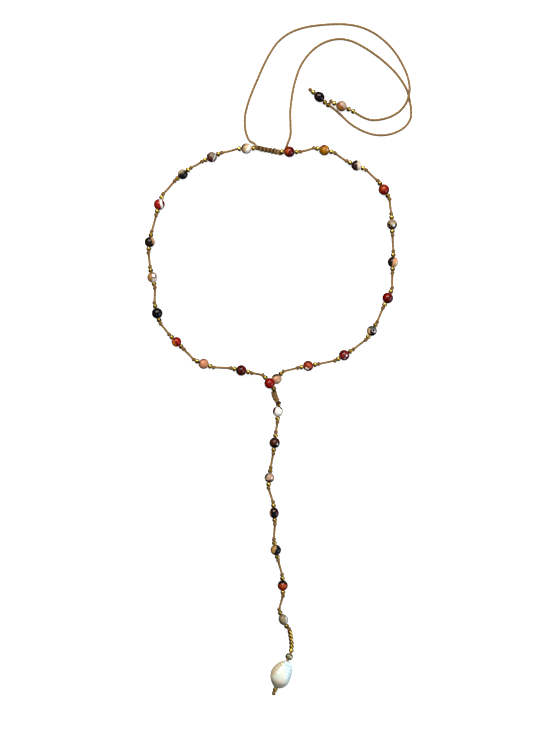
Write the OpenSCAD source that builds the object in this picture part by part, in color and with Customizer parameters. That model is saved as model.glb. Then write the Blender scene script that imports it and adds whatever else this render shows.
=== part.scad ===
// Pearl drop necklace. Polished agate beads are knotted on waxed cord to a loop, which a sliding
// knot closes. A long drop hangs from the loop's lowest point and ends in a baroque pearl.
// The necklace lies on a table, front up. X runs across the loop, Y from the pearl up to the
// sliding knot and Z up from the table. The origin is on the table, under the middle of the
// loop and drop. The left cord is followed from the sliding knot down to the junction, the
// right cord from the junction up to the sliding knot, and the drop downwards.

/* [Stones] */
// Diameter of the hole through a stone
stone_bore_d = 1.2; // [1.1:0.1:1.5]
// Gap between neighbours on the cord
bead_gap = 0.1; // [0.1:0.02:0.2]

/* [Brass beads] */
// Diameter of a small brass bead
brass_d = 2.1; // [1.9:0.05:2.1]
// Length of a small brass bead along the cord
brass_len = 1.42; // [1.3:0.02:1.42]
// Length of its straight belly
brass_belly = 0.4; // [0.2:0.1:0.5]
// Diameter of the hole through a small brass bead
brass_bore_d = 1.14; // [1.12:0.02:1.18]
// Number of brass beads in the row above the pearl
row_beads = 6; // [4:1:6]
// Distance from bead to bead in that row
row_pitch = 1.56; // [1.55:0.01:1.6]

/* [Faceted bead] */
// Widest diameter of the faceted bead
faceted_d = 3.4; // [3:0.1:3.6]
// Length of the faceted bead along the cord
faceted_len = 2.8; // [2.4:0.1:2.9]
// Number of facets round it
faceted_sides = 10; // [8:1:12]

/* [Pearl] */
// Diameter of the hole through the pearl
pearl_bore_d = 1.2; // [1.1:0.1:1.3]
// Size of the pearl, as a share of the real one
pearl_size = 1; // [0.9:0.02:1]

/* [Cord] */
// Diameter of the waxed cord
cord_d = 1; // [0.9:0.02:1]
// Share of its diameter that the cord keeps inside the sliding knot and the wrap
squeeze = 0.9; // [0.86:0.01:0.9]
// Diameter of an overhand knot
knot_d = 1.8; // [1.5:0.05:1.8]
// Length of an overhand knot
knot_len = 1.7; // [1.4:0.05:1.8]
// How far the bare cord sags between two stones
cord_sag = 0.7; // [0.2:0.1:1]

/* [Sliding knot and wrap] */
// Height of the sliding knot
sleeve_h = 2.3; // [2.2:0.1:2.6]
// Width of the wrap at the junction
wrap_w = 2.2; // [2:0.1:2.4]
// Height of the wrap at the junction
wrap_h = 2.9; // [2.8:0.1:3]
// Depth of the grooves between the turns of cord, as a share of the width
groove = 0.1; // [0.04:0.02:0.1]

/* [Hidden] */
$fn = 48;
cord_r = cord_d / 2;
cord_sides = 8;
sleeve_sides = 16;
pearl_sides = 20;
lane_cord_r = squeeze * cord_r;
lane_apart = 2 * lane_cord_r + 0.1;   // distance between two cords that run side by side
lane_r = lane_cord_r + 0.1;           // room that a sleeve leaves beyond the middle of a cord
lane_play = 0.08;                     // how much more it leaves across the two cords
end_run = 0.25;                       // straight start of a cord past a sleeve
lower_end = 5;                        // ring inside the wrap at which the right cord ends

// Columns of the stone tables. Stretch is 1 for a round bead. Heading is the way of the hole
// seen from above. Knots is 1 for a knot before the stone, 2 for one after it, 3 for both.
// Lift is the height of the stone's underside and rise the slope of its hole, 0 if left out.
X = 0; Y = 1; ACROSS = 2; STRETCH = 3; HEADING = 4; KNOTS = 5; COLOUR = 6; LIFT = 7; RISE = 8;

left_stones = [
    [-10.6, 113.4, 4.4, 1,    182, 0, "AntiqueWhite"],        // cream with a smoky rim
    [-25.1, 109.8, 4.4, 1,    204, 3, "Sienna"],              // red-brown and grey
    [-37.3, 102.6, 4.3, 1,    219, 3, "DarkKhaki"],           // beige and black
    [-47.1,  89.9, 4.7, 1,    253, 3, "Firebrick"],           // deep red with a white band
    [-51.1,  74.1, 4.4, 1,    261, 3, "#2b211d"],             // black with a peach band
    [-50.0,  59.3, 4.4, 1,    284, 3, "Tan"],                 // tan and white
    [-48.0,  44.2, 4.6, 1,    286, 3, "#1c1a1a"],             // black
    [-39.9,  32.2, 4.2, 1,    315, 3, "OrangeRed"],           // orange and red
    [-28.5,  23.0, 4.4, 1,    339, 3, "LightSalmon"],         // peach and grey
    [-12.7,  20.2, 4.5, 1,    347, 3, "#35140f"],             // black and dark red
    [ -0.8,  14.8, 4.5, 1,    307, 1, "Red", 2.76, -10],      // red, lies on its neighbour
];
right_stones = [
    [  2.1,  16.6, 4.3, 1,     50, 2, "#d9a27c", 0, 10],      // peach, under the red one
    [ 15.4,  22.1, 4.4, 1,     10, 3, "Tomato"],              // orange-red with a white lens
    [ 30.5,  26.6, 4.5, 1,     32, 3, "#8a3d2c"],             // brown-red, speckled
    [ 42.1,  36.8, 4.3, 1,     58, 3, "#8f8676"],             // beige, black and white
    [ 48.8,  50.6, 4.6, 1,     64, 3, "DarkRed"],             // dark red
    [ 51.0,  65.7, 4.5, 1,     87, 3, "#5b2a20"],             // maroon and peach
    [ 50.6,  81.5, 4.4, 1,     93, 3, "#9c8468"],             // brown and grey bands
    [ 47.2,  96.1, 4.6, 1,    123, 3, "#d8451a"],             // orange-red
    [ 35.7, 106.3, 4.4, 1,    157, 3, "#52211c"],             // maroon with a cream stripe
    [ 22.2, 112.7, 4.5, 1,    167, 3, "DarkOrange"],          // amber
    [  7.5, 112.0, 4.6, 1,    179, 1, "#8f1d10"],             // dark red and orange
];
drop_stones = [
    [  2.7,   3.0, 4.4, 1,    267, 2, "Seashell"],            // cream with a dark red rim
    [  1.3, -10.2, 4.5, 1,    263, 3, "#3a231b"],             // dark brown
    [ -0.9, -24.9, 4.2, 1,    263, 3, "BurlyWood"],           // peach with a red-brown foot
    [  1.1, -39.7, 4.0, 1.2,  275, 3, "#211a1c"],             // black with a peach edge
    [  1.8, -55.2, 4.5, 1,    282, 3, "Peru"],                // amber and blue-black
    [  4.7, -70.1, 4.4, 1,    272, 3, "#a03a1a"],             // dark brown and orange-red
    [  5.0, -84.5, 4.0, 1.2,  296, 1, "RosyBrown"],           // taupe
];

// The sliding knot: middle of the sleeve and its width, at each end and at each crest of cord
sleeve_start = [-6.2, 113.8, 1.8, 2.45];
sleeve_crests = [
    [-5.4, 113.7, 1.8, 2.6], [-3.7, 113.2, 1.8, 2.6], [-2.0, 112.9, 1.8, 2.6],
    [-0.3, 112.6, 1.8, 2.6], [1.4, 112.2, 1.8, 2.9],
];
sleeve_stop = [2.3, 112.2, 1.8, 2.45];

// Middle of each turn of the wrap at the junction, from the top
wrap_turns = [
    [1.0, 11.3, 2.9], [1.1, 10.5, 2.6], [1.3, 9.7, 2.35], [1.6, 8.9, 2.1],
    [2.0, 8.1, 1.9], [2.5, 7.3, 1.75],
];
// The right cord's way from inside the wrap to the peach stone's lower brass bead
right_lead_in = [[0.4, 12.4, 2.1], [-0.1, 13.2, 1.6]];
// and from the last stone's brass bead into the sliding knot
right_lead_out = [[3.15, 112.6, 2.05]];

// The small knot below the last stone, the row of brass beads and the faceted bead
small_knot_at = [7.3, -88.5, 1.65];
small_knot_d = 1.4;
row_start = [7.8, -89.85, 1.35];
row_heading = [278, 258];
row_bend = 4;
row_rise = [-8, 17];
faceted_at = [7.4, -99.9, 2.9];
faceted_bore_d = 1.2;

pearl_heading = 247;
pearl_rise = 2;
pearl_at = [4.1, -107.3, 4.15 * pearl_size];
// Sections of the pearl from its shoulder to its foot, seen from above with the foot down:
// distance along the hole, half width on the right, half width on the left, half height
pearl_sections = [
    [-6.25, 0.9, 0.8, 0.75], [-6, 1.75, 1.3, 1.3], [-5.2, 2.8, 2.3, 2.2], [-4, 3.55, 3.25, 3.2],
    [-2.1, 3.98, 4.2, 3.9], [0, 4.2, 4.6, 4.2], [2.5, 4, 3.95, 3.8], [4.1, 3.15, 2.8, 2.9],
    [5, 2.2, 1.9, 2], [5.6, 1.2, 1, 1.05], [5.8, 0.8, 0.75, 0.75],
];

// Routes of the loose tails over the table, from the sliding knot to their first brass bead
outer_route = [
    [-7.1, 115.5, 1.5], [-9.1, 116.8, 0.8], [-10.5, 119.5, 0.5], [-11.2, 123.5, 0.5],
    [-11.1, 127.5, 0.5], [-10, 132.3, 0.5], [-8.2, 137.4, 0.5], [-5.8, 143, 0.5],
    [-3.4, 148.5, 0.5], [-0.7, 153.7, 0.5], [3, 158.8, 0.5], [7.6, 162.3, 0.5],
    [13, 164.4, 0.5], [19, 165.5, 0.5], [25, 166, 0.5], [31, 166, 0.5],
    [37, 165, 0.5], [42.5, 162.7, 0.5], [47.6, 159, 0.5], [52, 154.2, 0.5],
    [55.4, 148.6, 0.5], [57.4, 143.8, 0.5], [58.1, 140, 0.9], [58.1, 138, 1.4],
    [57.8, 136, 1.62], [57.2, 134, 1.45], [56.2, 132, 0.9], [54.6, 130, 0.5],
    [50.8, 127.4, 0.5], [46.5, 126, 0.5], [42, 125.7, 0.5], [38.4, 126.9, 0.6],
    [36, 128.2, 1.1],
];
inner_route = [
    [3.2, 111.3, 1.32], [3.6, 111.2, 0.85], [4.2, 111.4, 0.52], [5.4, 112.6, 0.5], [6.6, 115.3, 0.5],
    [7.9, 119, 0.5], [8, 124, 0.5], [7.9, 129, 0.5], [8.4, 134, 0.5],
    [9.2, 139, 0.5], [10.4, 143.5, 0.5], [12.2, 148.3, 0.5], [15, 152.6, 0.5],
    [18.8, 156.3, 0.5], [23.4, 158.8, 0.5], [28.4, 159.8, 0.5], [33.5, 159, 0.5],
    [38.5, 156.6, 0.5], [43.3, 153.5, 0.5], [48.2, 149.6, 0.5], [52.6, 145.2, 0.5],
    [55.6, 141, 0.5], [57.3, 137.6, 0.5], [58.2, 134, 0.5], [58.8, 130, 0.5],
    [58.6, 126.5, 0.5], [56.6, 123.2, 0.5], [52.8, 120.7, 0.5], [48.2, 119.4, 0.5],
    [43.4, 119.5, 0.5], [38.4, 121.1, 0.5], [33.8, 123.7, 0.5], [29.6, 127.4, 0.5],
    [27.3, 129.5, 0.55], [25.4, 130.9, 0.9],
];
// What is threaded on each tail from there: two brass beads, the stone, one brass bead, the knot
outer_tail = [[34.4, 129.1, 1.6], [32.4, 129.95, 2.05], [29.4, 131.2, 2.25], [26.4, 132.4, 2.05],
    [24.95, 133.4, 1.6]];
inner_tail = [[23.9, 131.8, 1.4], [22.5, 132.85, 1.85], [20.1, 135.1, 2.1], [17.6, 137.05, 1.95],
    [16.25, 138.25, 1.5]];
outer_tail_stone_size = [4.5, 1];
inner_tail_stone_size = [4.2, 1.15];

brass_colour = "Goldenrod";
cord_colour = "#9a7a55";

left_names = [for (i = [1:11]) str("stone_", i < 10 ? "0" : "", i)];
right_names = [for (i = [12:22]) str("stone_", i)];
drop_names = [for (i = [1:7]) str("drop_stone_", i)];

function unit(v) = v / norm(v);
function toward(heading, rise) = [cos(rise) * cos(heading), cos(rise) * sin(heading), sin(rise)];
function first(list) = list[0];
function last(list) = list[len(list) - 1];
function reversed(list) = [for (i = [len(list) - 1:-1:0]) list[i]];

// Places along the cord at one stone
function column(stone, at) = is_undef(stone[at]) ? 0 : stone[at];
function middle(stone) = [stone[X], stone[Y], column(stone, LIFT) + stone[ACROSS] / 2];
function hole(stone) = toward(stone[HEADING], column(stone, RISE));
function half_len(across, stretch, bore_d) = stretch * sqrt(pow(across / 2, 2) - pow(bore_d / 2, 2));
function stone_half(stone) = half_len(stone[ACROSS], stone[STRETCH], stone_bore_d);
function brass_out(stone) = stone_half(stone) + bead_gap + brass_len / 2;
function brass_end(stone) = brass_out(stone) + brass_len / 2;
function knot_out(stone) = brass_end(stone) + bead_gap + knot_len / 2;
function along(stone, out) = middle(stone) + out * hole(stone);

// Rings of cord: the middle, the half width and the half height of each
function ring(at, r = cord_r) = [at, r, r];
function knot_rings(at, way) = [
    for (k = [[-0.5, cord_r], [-0.22, knot_d / 2], [0.22, knot_d / 2], [0.5, cord_r]])
        ring(at + k[0] * knot_len * way, k[1])
];
function side_rings(stone, side, knotted) = knotted
    ? knot_rings(along(stone, side * knot_out(stone)), hole(stone))
    : [ring(along(stone, side * (brass_end(stone) + bead_gap)))];
function stone_rings(stone) = concat(
    side_rings(stone, -1, stone[KNOTS] == 1 || stone[KNOTS] == 3),
    side_rings(stone, 1, stone[KNOTS] >= 2)
);
function curve(a, b, way_a, way_b, t) = let (reach = norm(b - a))
    (2 * t * t * t - 3 * t * t + 1) * a + (t * t * t - 2 * t * t + t) * reach * way_a
    + (3 * t * t - 2 * t * t * t) * b + (t * t * t - t * t) * reach * way_b;
function span_rings(from, to) =
    let (a = last(stone_rings(from))[0], b = first(stone_rings(to))[0])
    [for (t = [0.33, 0.67])
        ring(curve(a, b, hole(from), hole(to), t) - [0, 0, 4 * cord_sag * t * (1 - t)])];
function string_rings(stones) = [
    for (i = [0:len(stones) - 1]) each concat(
        stone_rings(stones[i]),
        i < len(stones) - 1 ? span_rings(stones[i], stones[i + 1]) : []
    )
];

// Direction of a line of rings at one of them, and the two directions across it
function run(rings, i) = unit(rings[min(i + 1, len(rings) - 1)][0] - rings[max(i - 1, 0)][0]);
function sideways(way) = unit(cross([0, 0, 1], way));
function upward(way) = cross(way, sideways(way));

// A cord's line beside or above the middle of a sleeve
function lane(rings, beside, above) = [
    for (i = [0:len(rings) - 1]) let (way = run(rings, i))
        ring(rings[i][0] + beside * sideways(way) + above * upward(way), lane_cord_r)
];
// The rings that take a cord straight on from the end of a line
function straight_on(rings) = let (i = len(rings) - 1)
    [rings[i], ring(rings[i][0] + end_run * run(rings, i), lane_cord_r)];
function longer(rings) = concat(
    [last(straight_on(reversed(rings)))],
    rings,
    [last(straight_on(rings))]
);

// The points round each ring, and the faces between them
function ring_points(rings, sides) = [
    for (i = [0:len(rings) - 1]) let (way = run(rings, i))
        for (k = [0:sides - 1]) let (turn = 360 * (k + 0.5) / sides)
            rings[i][0] + rings[i][1] * cos(turn) * sideways(way)
                + rings[i][2] * sin(turn) * upward(way)
];
function wall_faces(start, count, sides) = [
    for (i = [0:count - 2], k = [0:sides - 1]) let (a = start + i * sides, next = (k + 1) % sides)
        [a + k, a + sides + k, a + sides + next, a + next]
];

// A solid through rings of points, closed at both ends
module loft(points, sides) {
    count = len(points) / sides;
    faces = concat(
        [[for (k = [0:sides - 1]) k]],
        [[for (k = [sides - 1:-1:0]) (count - 1) * sides + k]],
        wall_faces(0, count, sides)
    );
    polyhedron(points, faces, convexity = 10);
}

module cord(rings) {
    loft(ring_points(rings, cord_sides), cord_sides);
}

// A sleeve through rings of points, with an oval way through it
module sleeve(rings, inner_w, inner_h, sides) {
    inside = [for (r = rings) [r[0], inner_w, inner_h]];
    count = len(rings);
    inner = count * sides;
    stop = inner - sides;
    rims = [
        for (k = [0:sides - 1]) let (next = (k + 1) % sides) each [
            [k, next, inner + next, inner + k],
            [stop + next, stop + k, inner + stop + k, inner + stop + next],
        ]
    ];
    polyhedron(
        concat(ring_points(rings, sides), ring_points(inside, sides)),
        concat(
            wall_faces(0, count, sides),
            [for (face = wall_faces(inner, count, sides)) reversed(face)],
            rims
        ),
        convexity = 10
    );
}

// A drilled bead with its hole along Z. Half is half its length. Its outline is an arc at each end
// and, in a barrel or a long bead, a straight belly between them, of which belly is half the length.
module bead(across, half, belly, bore_d) {
    wide = across / 2;
    bore = bore_d / 2;
    tip = half - belly;
    past = (tip * tip + bore * bore - wide * wide) / (2 * (wide - bore));
    rotate_extrude() intersection() {
        union() {
            translate([-past, belly]) circle(wide + past);
            if (belly > 0.01) {
                translate([0, -belly]) square([wide, 2 * belly]);
                translate([-past, -belly]) circle(wide + past);
            }
        }
        translate([bore, -half]) square([wide, 2 * half]);
    }
}

module stone_bead(across, stretch) {
    ball_half = half_len(across, 1, stone_bore_d);
    bead(across, stretch * ball_half, (stretch - 1) * ball_half, stone_bore_d);
}

// Turns a child's Z axis to a direction and puts it at its place
module set_at(at, way) {
    translate(at) rotate([0, 90 - asin(way[2]), atan2(way[1], way[0])]) children();
}

module stone(row) {
    color(row[COLOUR])
        set_at(middle(row), hole(row)) stone_bead(row[ACROSS], row[STRETCH]);
}

module brass_bead(at, way) {
    color(brass_colour)
        set_at(at, way) bead(brass_d, brass_len / 2, brass_belly / 2, brass_bore_d);
}

// The brass bead on each side of some stones of a string
module brass_pairs(stones, from, to) {
    for (i = [from:to], side = [-1, 1])
        brass_bead(along(stones[i], side * brass_out(stones[i])), hole(stones[i]));
}

module brass_left_upper() {
    brass_pairs(left_stones, 0, 4);
}

module brass_left_lower() {
    brass_pairs(left_stones, 5, 10);
}

module brass_right_lower() {
    brass_pairs(right_stones, 0, 5);
}

module brass_right_upper() {
    brass_pairs(right_stones, 6, 10);
}

// The end of the drop: each thing on the cord there as its middle, direction and half length
function row_way(i) = let (t = i / (row_beads - 1)) toward(
    row_heading[0] + pow(t, row_bend) * (row_heading[1] - row_heading[0]),
    row_rise[0] + t * (row_rise[1] - row_rise[0])
);
function row_at(i) = i == 0
    ? row_start
    : row_at(i - 1) + row_pitch * unit(row_way(i - 1) + row_way(i));
pearl_way = toward(pearl_heading, pearl_rise);
pearl_top = pearl_at + pearl_size * first(pearl_sections)[0] * pearl_way;
pearl_foot = pearl_at + pearl_size * last(pearl_sections)[0] * pearl_way;
faceted_way = unit(pearl_top - row_at(row_beads - 1));
foot_brass_at = pearl_foot + (bead_gap + brass_len / 2) * pearl_way;
end_knot_at = foot_brass_at + (brass_len / 2 + bead_gap + knot_len / 2) * pearl_way;
threaded = concat(
    [for (i = [0:row_beads - 1]) [row_at(i), row_way(i), brass_len / 2]],
    [
        [faceted_at, faceted_way, faceted_len / 2],
        [(pearl_top + pearl_foot) / 2, pearl_way, norm(pearl_foot - pearl_top) / 2],
    ]
);

module brass_drop_upper() {
    brass_pairs(drop_stones, 0, 3);
}

module brass_drop_lower() {
    brass_pairs(drop_stones, 4, 6);
    for (i = [0:row_beads - 1]) brass_bead(row_at(i), row_way(i));
    brass_bead(foot_brass_at, pearl_way);
}

module faceted_bead() {
    r = faceted_d / 2;
    half = faceted_len / 2;
    bore = faceted_bore_d / 2;
    color("DarkKhaki") set_at(faceted_at, faceted_way)
        rotate_extrude($fn = faceted_sides) polygon([
            [bore, -half], [0.72 * r, -0.8 * half], [r, -0.28 * half],
            [r, 0.28 * half], [0.72 * r, 0.8 * half], [bore, half],
        ]);
}

// The pearl's sections with one more between each two, on a smooth line through them
function between(rows, i) = let (n = len(rows))
    (9 * (rows[i] + rows[i + 1]) - rows[max(i - 1, 0)] - rows[min(i + 2, n - 1)]) / 16;
pearl_rows = [
    for (i = [0:len(pearl_sections) - 1]) each
        i < len(pearl_sections) - 1 ? [pearl_sections[i], between(pearl_sections, i)] : [pearl_sections[i]]
];

module pearl() {
    points = [
        for (row = pearl_rows, k = [0:pearl_sides - 1]) let (turn = 360 * (k + 0.5) / pearl_sides)
            pearl_at + pearl_size * (row[0] * pearl_way
                + (cos(turn) > 0 ? row[1] : row[2]) * cos(turn) * sideways(pearl_way)
                + row[3] * sin(turn) * upward(pearl_way))
    ];
    color("Ivory") difference() {
        loft(points, pearl_sides);
        set_at(pearl_top - pearl_way, pearl_way)
            cylinder(d = pearl_bore_d, h = norm(pearl_foot - pearl_top) + 2);
    }
}

// Rings of the sliding knot and of the wrap, with a groove between each two turns of cord
function groove_ring(at) = [at[0], at[1] * (1 - groove), at[2] * (1 - groove)];
function grooved(rings) = [
    for (i = [0:len(rings) - 1]) each i < len(rings) - 1
        ? [rings[i], groove_ring((rings[i] + rings[i + 1]) / 2)]
        : [rings[i]]
];
function sleeve_ring(row) = [[row[0], row[1], row[2]], row[3] / 2, sleeve_h / 2];
sleeve_rings = concat(
    [sleeve_ring(sleeve_start)],
    grooved([for (row = sleeve_crests) sleeve_ring(row)]),
    [sleeve_ring(sleeve_stop)]
);
wrap_rings = grooved([for (at = wrap_turns) [at, wrap_w / 2, wrap_h / 2]]);

// The two cords run side by side through the sliding knot and one above the other in the wrap
left_lane = reversed(lane(longer(sleeve_rings), -lane_apart / 2, 0));
right_lane = reversed(lane(longer(sleeve_rings), lane_apart / 2, 0));
upper_lane = lane(longer(wrap_rings), 0, lane_apart / 2);
lower_lane = [for (i = [lower_end:-1:0]) lane(longer(wrap_rings), 0, -lane_apart / 2)[i]];

module sliding_knot() {
    color(cord_colour)
        sleeve(sleeve_rings, lane_apart / 2 + lane_r, lane_r + lane_play, sleeve_sides);
}

module junction_wrap() {
    color(cord_colour)
        sleeve(wrap_rings, lane_r + lane_play, lane_apart / 2 + lane_r, sleeve_sides);
}

module left_cord() {
    color(cord_colour)
        cord(concat(left_lane, string_rings(left_stones), upper_lane));
}

module right_cord() {
    color(cord_colour) cord(concat(
        lower_lane,
        [for (at = right_lead_in) ring(at)],
        string_rings(right_stones),
        [for (at = right_lead_out) ring(at)],
        right_lane
    ));
}

module drop_cord() {
    color(cord_colour) cord(concat(
        straight_on(upper_lane),
        string_rings(drop_stones),
        [ring(small_knot_at, small_knot_d / 2), ring(row_start - brass_len / 2 * row_way(0) * 1.2)],
        [for (t = threaded, side = [-1, 1]) ring(t[0] + side * t[2] * t[1])],
        knot_rings(end_knot_at, pearl_way)
    ));
}

// A tail's cord goes on from the sliding knot, straight through its beads and into its end knot
function tail_way(route, things, i) = unit(things[i + 1] - (i == 0 ? last(route) : things[i - 1]));

module tail_cord(start, route, things, size) {
    halves = [brass_len / 2, brass_len / 2, half_len(size[0], size[1], stone_bore_d), brass_len / 2];
    color(cord_colour) cord(concat(
        straight_on(start),
        [for (p = route) ring(p)],
        [for (i = [0:3], side = [-1, 1]) ring(things[i] + side * halves[i] * tail_way(route, things, i))],
        knot_rings(last(things), unit(last(things) - things[3]))
    ));
}

module tail_stone(route, things, size, tint) {
    color(tint) set_at(things[2], tail_way(route, things, 2)) stone_bead(size[0], size[1]);
}

module tail_brass(route, things) {
    for (i = [0, 1, 3]) brass_bead(things[i], tail_way(route, things, i));
}

module outer_tail_cord() {
    tail_cord(right_lane, outer_route, outer_tail, outer_tail_stone_size);
}

module outer_tail_stone() {
    tail_stone(outer_route, outer_tail, outer_tail_stone_size, "RosyBrown");
}

module outer_tail_brass() {
    tail_brass(outer_route, outer_tail);
}

module inner_tail_cord() {
    tail_cord(reversed(left_lane), inner_route, inner_tail, inner_tail_stone_size);
}

module inner_tail_stone() {
    tail_stone(inner_route, inner_tail, inner_tail_stone_size, "#2a1c1c");
}

module inner_tail_brass() {
    tail_brass(inner_route, inner_tail);
}

for (i = [0:len(left_stones) - 1])
    stone(left_stones[i]);
for (i = [0:len(right_stones) - 1])
    stone(right_stones[i]);
for (i = [0:len(drop_stones) - 1])
    stone(drop_stones[i]);
brass_left_upper();
brass_left_lower();
brass_right_lower();
brass_right_upper();
brass_drop_upper();
brass_drop_lower();
faceted_bead();
pearl();
left_cord();
right_cord();
drop_cord();
sliding_knot();
junction_wrap();
outer_tail_cord();
outer_tail_stone();
outer_tail_brass();
inner_tail_cord();
inner_tail_stone();
inner_tail_brass();
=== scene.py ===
import math
from collections import namedtuple

import bmesh
import bpy
import numpy as np
from bpy.props import FloatProperty, FloatVectorProperty, PointerProperty
from mathutils import Matrix, Vector


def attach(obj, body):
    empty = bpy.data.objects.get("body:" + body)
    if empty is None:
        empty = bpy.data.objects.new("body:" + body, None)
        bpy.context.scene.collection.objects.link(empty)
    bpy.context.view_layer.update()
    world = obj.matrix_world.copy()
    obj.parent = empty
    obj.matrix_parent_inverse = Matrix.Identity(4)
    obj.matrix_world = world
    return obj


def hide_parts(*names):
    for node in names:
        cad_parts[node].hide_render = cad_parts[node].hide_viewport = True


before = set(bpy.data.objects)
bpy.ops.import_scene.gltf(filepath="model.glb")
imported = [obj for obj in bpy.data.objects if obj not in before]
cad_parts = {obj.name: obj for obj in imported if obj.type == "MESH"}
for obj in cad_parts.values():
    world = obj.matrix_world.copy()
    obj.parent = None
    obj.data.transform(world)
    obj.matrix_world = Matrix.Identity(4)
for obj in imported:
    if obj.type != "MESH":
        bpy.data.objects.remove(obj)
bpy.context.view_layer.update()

bl_info = {
    "name": "Pearl drop necklace",
    "version": (1, 0, 0),
    "blender": (4, 5, 0),
    "location": "View3D > Sidebar > Necklace",
    "description": "Dresses a necklace of knotted agate beads with a baroque pearl",
    "category": "Object",
}

MM = 0.001
UP = Vector((0, 0, 1))
STEP = 0.3 * MM         # between two points of a line of cord
COIL_STEP = 0.05 * MM   # the same in the sliding knot and the wrap
# The colour of painted shade between the turns of wound cord and knots
TURN_SHADE = (0.028, 0.009, 0.001, 1)
VEIN = (0.02, 0.012, 0.01, 1)
BLACK = (0, 0, 0, 1)

# How far the picture's middle lies from the frame's, and the focus above the table
CAMERA_OVER = (-0.0021, 0.0191, 0.0022)

# The sliding knot's and the wrap's middle lines, in millimetres, and how often the strand goes round
SLEEVE = [(-6.2, 113.8, 1.8), (-5.4, 113.7, 1.8), (-3.7, 113.2, 1.8), (-2, 112.9, 1.8),
          (-0.3, 112.6, 1.8), (1.4, 112.2, 1.8), (2.3, 112.2, 1.8)]
SLEEVE_TURNS, WRAP_TURNS = 5.6, 6.5
WRAP = [(1, 11.3, 2.9), (1.1, 10.5, 2.6), (1.3, 9.7, 2.35), (1.6, 8.9, 2.1), (2, 8.1, 1.9), (2.5, 7.3, 1.75)]
RIGHT_LEAD_IN = [(0.4, 12.4, 2.1), (-0.1, 13.2, 1.6)]
RIGHT_LEAD_OUT = [(3.15, 112.6, 2.05)]
MELTED_END = (0.0031, 0.0067, 0.0031)   # in metres
# The small knot between the last stone of the drop and the row of brass beads
SMALL_KNOT = Vector((7.3, -88.5, 1.65)) * MM

# Routes of the loose tails from the sliding knot to their first brass bead. A point without a
# height lies on the table.
OUTER_ROUTE = [
    (-7.1, 115.5, 1.5), (-9.1, 116.8, 0.8), (-10.5, 119.5), (-11.2, 123.5), (-11.1, 127.5), (-10, 132.3),
    (-8.2, 137.4), (-5.8, 143), (-3.4, 148.5), (-0.7, 153.7), (3, 158.8), (7.6, 162.3), (13, 164.4),
    (19, 165.5), (25, 166), (31, 166), (37, 165), (42.5, 162.7), (47.6, 159), (52, 154.2), (55.4, 148.6),
    (57.4, 143.8), (58.1, 140, 0.9), (58.1, 138, 1.4), (57.8, 136, 1.62), (57.2, 134, 1.45),
    (56.2, 132, 0.9), (54.6, 130), (50.8, 127.4), (46.5, 126), (42, 125.7), (38.4, 126.9, 0.6),
    (36, 128.2, 1.1),
]
INNER_ROUTE = [
    (3.2, 111.3, 1.32), (3.6, 111.2, 0.85), (4.2, 111.4, 0.52), (5.4, 112.6), (6.6, 115.3), (7.9, 119),
    (8, 124), (7.9, 129), (8.4, 134), (9.2, 139), (10.4, 143.5), (12.2, 148.3), (15, 152.6),
    (18.8, 156.3), (23.4, 158.8), (28.4, 159.8), (33.5, 159), (38.5, 156.6), (43.3, 153.5), (48.2, 149.6),
    (52.6, 145.2), (55.6, 141), (57.3, 137.6), (58.2, 134), (58.8, 130), (58.6, 126.5), (56.6, 123.2),
    (52.8, 120.7), (48.2, 119.4), (43.4, 119.5), (38.4, 121.1), (33.8, 123.7), (29.6, 127.4),
    (27.3, 129.5, 0.55), (25.4, 130.9, 0.9),
]
OUTER_END = [(34.4, 129.1, 1.6), (32.4, 129.95, 2.05), (29.4, 131.2, 2.25), (26.4, 132.4, 2.05),
             (24.95, 133.4, 1.6)]
INNER_END = [(23.9, 131.8, 1.4), (22.5, 132.85, 1.85), (20.1, 135.1, 2.1), (17.6, 137.05, 1.95),
             (16.25, 138.25, 1.5)]

# Which sides of a stone have no knot: the side that is met first on the cord, or the other
BARE_BEFORE = {"stone_01", "stone_12", "drop_stone_1"}
BARE_AFTER = {"stone_01", "stone_11", "stone_22", "drop_stone_7"}

# The pearl: middle, heading and rise of its hole, and its sections from the shoulder to the foot
# as distance along the hole, half width on the right, half width on the left, half height
PEARL_AT = Vector((4.1, -107.3, 4.15)) * MM
PEARL_HEADING, PEARL_RISE = 247, 2
PEARL_SECTIONS = [
    (-6.25, 0.9, 0.8, 0.75), (-6, 1.75, 1.3, 1.3), (-5.2, 2.8, 2.3, 2.2), (-4, 3.55, 3.25, 3.2),
    (-2.1, 3.98, 4.2, 3.9), (0, 4.2, 4.6, 4.2), (2.5, 4, 3.95, 3.8), (4.1, 3.15, 2.8, 2.9),
    (5, 2.2, 1.9, 2), (5.6, 1.2, 1, 1.05), (5.8, 0.8, 0.75, 0.75),
]

PALETTE = {
    "white": "#FFF8F2", "milk": "#FFF6EC", "ivory": "#F0DCB2", "cream": "#EBD3B0", "beige": "#D3B080",
    "sand": "#C9A77C", "peach": "#E09C6C", "rose": "#C98A78", "skin": "#D9A67E", "taupe": "#8E7C68",
    "khaki": "#9C8864", "moss": "#4A5246", "ice": "#D5DCE0", "ochre": "#B8802C", "honey": "#C4924A",
    "amber": "#B47208", "copper": "#B0481C", "carnelian": "#A8260A", "red": "#9E0E06", "crimson": "#8C0A08",
    "garnet": "#5E0C08", "wine": "#6A1A26", "oxblood": "#3C0A08", "maroon": "#2E0D0A", "plum": "#5C2032",
    "rust": "#8A3410", "chestnut": "#542010", "umber": "#3A2414", "coffee": "#2A1810", "smoke": "#241A16",
    "black": "#0A0809", "teal": "#0A1214", "ink": "#0C1220", "olive": "#2A2A1C", "flame": "#CC6A14",
    "salmon": "#D98C68", "tawny": "#93531C", "dusk": "#B79A88", "sandy": "#D6BA8E", "clay": "#CC8A62",
    "syrup": "#9A5E04", "loam": "#7E6650", "tan": "#B08450", "ember": "#8E2C08", "russet": "#962F10",
}
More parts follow.
